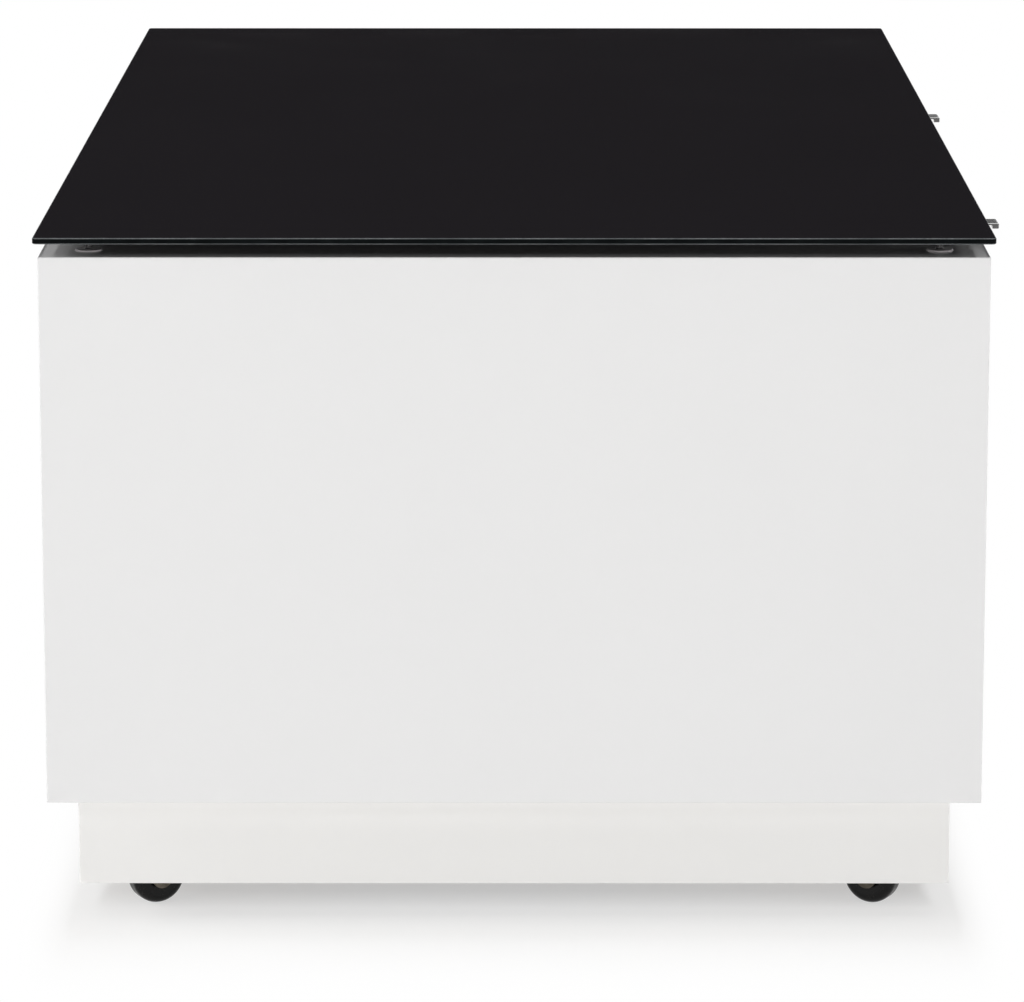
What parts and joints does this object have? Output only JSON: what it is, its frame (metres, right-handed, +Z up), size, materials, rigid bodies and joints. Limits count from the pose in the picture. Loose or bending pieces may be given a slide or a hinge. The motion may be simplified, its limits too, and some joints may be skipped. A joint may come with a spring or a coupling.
{
  "type": "coffee table",
  "caption": "Long low coffee table in white gloss: black glass top on clear feet, drawers with chrome tab pulls in one long side, recessed plinth hiding swivel castors.",
  "frame": {"origin": "on the floor, under the middle of the table's overall box with the drawers closed and the pulls included", "axes": "+X out of the front, the way the drawers open; +Y along the length, to the right end; +Z up"},
  "size_m": [0.626, 1.1, 0.4465],
  "materials": {
    "white_lacquer": "high-gloss lacquer on fibreboard",
    "white_board": "satin melamine on chipboard",
    "hardboard": "satin printed hardboard",
    "beech": "plain sawn",
    "black_glass": "polished, black enamel behind",
    "clear_vinyl": "clear soft vinyl",
    "chrome": "bright plated",
    "zinc_steel": "zinc plated",
    "dark_steel": "dark bronzed zinc",
    "white_steel": "white epoxy coat",
    "white_nylon": "moulded nylon",
    "black_nylon": "moulded black nylon"
  },
  "bodies": {
    "cabinet": {"back_panel": "white_lacquer", "bottom_panel": "white_lacquer", "carcass_dowels": "beech", "castor_blocks": "beech", "castor_kingpins": "zinc_steel", "castor_plates": "zinc_steel", "castor_screws": "zinc_steel", "centre_divider": "white_lacquer", "drawer_bumpers": "clear_vinyl", "glass_pads": "clear_vinyl", "glass_top": "black_glass", "left_drawer_wall_runners": "white_steel", "left_end_panel": "white_lacquer", "plinth_back_rail": "white_lacquer", "plinth_front_rail": "white_lacquer", "plinth_left_rail": "white_lacquer", "plinth_right_rail": "white_lacquer", "right_drawer_wall_runners": "white_steel", "right_end_panel": "white_lacquer", "runner_screws": "zinc_steel", "top_panel": "white_lacquer"},
    "left_drawer": {"left_drawer_back": "white_board", "left_drawer_bottom": "hardboard", "left_drawer_cams": "zinc_steel", "left_drawer_front": "white_lacquer", "left_drawer_left_side": "white_board", "left_drawer_pull": "chrome", "left_drawer_pull_screws": "zinc_steel", "left_drawer_right_side": "white_board", "left_drawer_runners": "white_steel"},
    "right_drawer": {"right_drawer_back": "white_board", "right_drawer_bottom": "hardboard", "right_drawer_cams": "zinc_steel", "right_drawer_front": "white_lacquer", "right_drawer_left_side": "white_board", "right_drawer_pull": "chrome", "right_drawer_pull_screws": "zinc_steel", "right_drawer_right_side": "white_board", "right_drawer_runners": "white_steel"},
    "left_drawer_left_guide_roller": {"left_drawer_left_guide_roller": "white_nylon"},
    "left_drawer_left_tail_roller": {"left_drawer_left_tail_roller": "white_nylon"},
    "left_drawer_right_guide_roller": {"left_drawer_right_guide_roller": "white_nylon"},
    "left_drawer_right_tail_roller": {"left_drawer_right_tail_roller": "white_nylon"},
    "right_drawer_left_guide_roller": {"right_drawer_left_guide_roller": "white_nylon"},
    "right_drawer_left_tail_roller": {"right_drawer_left_tail_roller": "white_nylon"},
    "right_drawer_right_guide_roller": {"right_drawer_right_guide_roller": "white_nylon"},
    "right_drawer_right_tail_roller": {"right_drawer_right_tail_roller": "white_nylon"},
    "front_left_castor": {"front_left_castor_fork": "dark_steel", "front_left_castor_axle": "dark_steel"},
    "front_left_wheel": {"front_left_castor_wheel": "black_nylon"},
    "back_left_castor": {"back_left_castor_fork": "dark_steel", "back_left_castor_axle": "dark_steel"},
    "back_left_wheel": {"back_left_castor_wheel": "black_nylon"},
    "front_right_castor": {"front_right_castor_fork": "dark_steel", "front_right_castor_axle": "dark_steel"},
    "front_right_wheel": {"front_right_castor_wheel": "black_nylon"},
    "back_right_castor": {"back_right_castor_fork": "dark_steel", "back_right_castor_axle": "dark_steel"},
    "back_right_wheel": {"back_right_castor_wheel": "black_nylon"}
  },
  "joints": [
    {"name": "left_drawer_slide", "type": "slide", "parent": "cabinet", "child": "left_drawer", "axis": [1, 0, 0], "range_m": [0, 0.375]},
    {"name": "right_drawer_slide", "type": "slide", "parent": "cabinet", "child": "right_drawer", "axis": [1, 0, 0], "range_m": [0, 0.375]},
    {"name": "left_drawer_left_guide_turn", "type": "hinge", "parent": "cabinet", "child": "left_drawer_left_guide_roller", "pos_m": [0.253, -0.52235, 0.1254], "axis": [0, 1, 0], "continuous": true},
    {"name": "left_drawer_left_tail_turn", "type": "hinge", "parent": "left_drawer", "child": "left_drawer_left_tail_roller", "pos_m": [-0.223, -0.52235, 0.1223], "axis": [0, 1, 0], "continuous": true},
    {"name": "left_drawer_right_guide_turn", "type": "hinge", "parent": "cabinet", "child": "left_drawer_right_guide_roller", "pos_m": [0.253, -0.01565, 0.1254], "axis": [0, 1, 0], "continuous": true},
    {"name": "left_drawer_right_tail_turn", "type": "hinge", "parent": "left_drawer", "child": "left_drawer_right_tail_roller", "pos_m": [-0.223, -0.01565, 0.1223], "axis": [0, 1, 0], "continuous": true},
    {"name": "right_drawer_left_guide_turn", "type": "hinge", "parent": "cabinet", "child": "right_drawer_left_guide_roller", "pos_m": [0.253, 0.01565, 0.1254], "axis": [0, 1, 0], "continuous": true},
    {"name": "right_drawer_left_tail_turn", "type": "hinge", "parent": "right_drawer", "child": "right_drawer_left_tail_roller", "pos_m": [-0.223, 0.01565, 0.1223], "axis": [0, 1, 0], "continuous": true},
    {"name": "right_drawer_right_guide_turn", "type": "hinge", "parent": "cabinet", "child": "right_drawer_right_guide_roller", "pos_m": [0.253, 0.52235, 0.1254], "axis": [0, 1, 0], "continuous": true},
    {"name": "right_drawer_right_tail_turn", "type": "hinge", "parent": "right_drawer", "child": "right_drawer_right_tail_roller", "pos_m": [-0.223, 0.52235, 0.1223], "axis": [0, 1, 0], "continuous": true},
    {"name": "front_left_castor_swivel", "type": "hinge", "parent": "cabinet", "child": "front_left_castor", "pos_m": [0.2065, -0.4741, 0.0427], "axis": [0, 0, 1], "continuous": true},
    {"name": "front_left_wheel_spin", "type": "hinge", "parent": "front_left_castor", "child": "front_left_wheel", "pos_m": [0.21974, -0.48114, 0.018], "axis": [0.4695, 0.8829, 0], "continuous": true},
    {"name": "back_left_castor_swivel", "type": "hinge", "parent": "cabinet", "child": "back_left_castor", "pos_m": [-0.2325, -0.4741, 0.0427], "axis": [0, 0, 1], "continuous": true},
    {"name": "back_left_wheel_spin", "type": "hinge", "parent": "back_left_castor", "child": "back_left_wheel", "pos_m": [-0.24574, -0.48114, 0.018], "axis": [0.4695, -0.8829, 0], "continuous": true},
    {"name": "front_right_castor_swivel", "type": "hinge", "parent": "cabinet", "child": "front_right_castor", "pos_m": [0.2065, 0.4741, 0.0427], "axis": [0, 0, 1], "continuous": true},
    {"name": "front_right_wheel_spin", "type": "hinge", "parent": "front_right_castor", "child": "front_right_wheel", "pos_m": [0.21799, 0.48374, 0.018], "axis": [-0.6428, 0.766, 0], "continuous": true},
    {"name": "back_right_castor_swivel", "type": "hinge", "parent": "cabinet", "child": "back_right_castor", "pos_m": [-0.2325, 0.4741, 0.0427], "axis": [0, 0, 1], "continuous": true},
    {"name": "back_right_wheel_spin", "type": "hinge", "parent": "back_right_castor", "child": "back_right_wheel", "pos_m": [-0.24699, 0.47798, 0.018], "axis": [-0.2588, -0.9659, 0], "continuous": true}
  ],
  "couplings": [
    {"joint": "left_drawer_left_guide_turn", "follows": "left_drawer_slide", "rad_per_m": 117.65},
    {"joint": "left_drawer_left_tail_turn", "follows": "left_drawer_slide", "rad_per_m": 142.86},
    {"joint": "left_drawer_right_guide_turn", "follows": "left_drawer_slide", "rad_per_m": 117.65},
    {"joint": "left_drawer_right_tail_turn", "follows": "left_drawer_slide", "rad_per_m": 142.86},
    {"joint": "right_drawer_left_guide_turn", "follows": "right_drawer_slide", "rad_per_m": 117.65},
    {"joint": "right_drawer_left_tail_turn", "follows": "right_drawer_slide", "rad_per_m": 142.86},
    {"joint": "right_drawer_right_guide_turn", "follows": "right_drawer_slide", "rad_per_m": 117.65},
    {"joint": "right_drawer_right_tail_turn", "follows": "right_drawer_slide", "rad_per_m": 142.86}
  ]
}
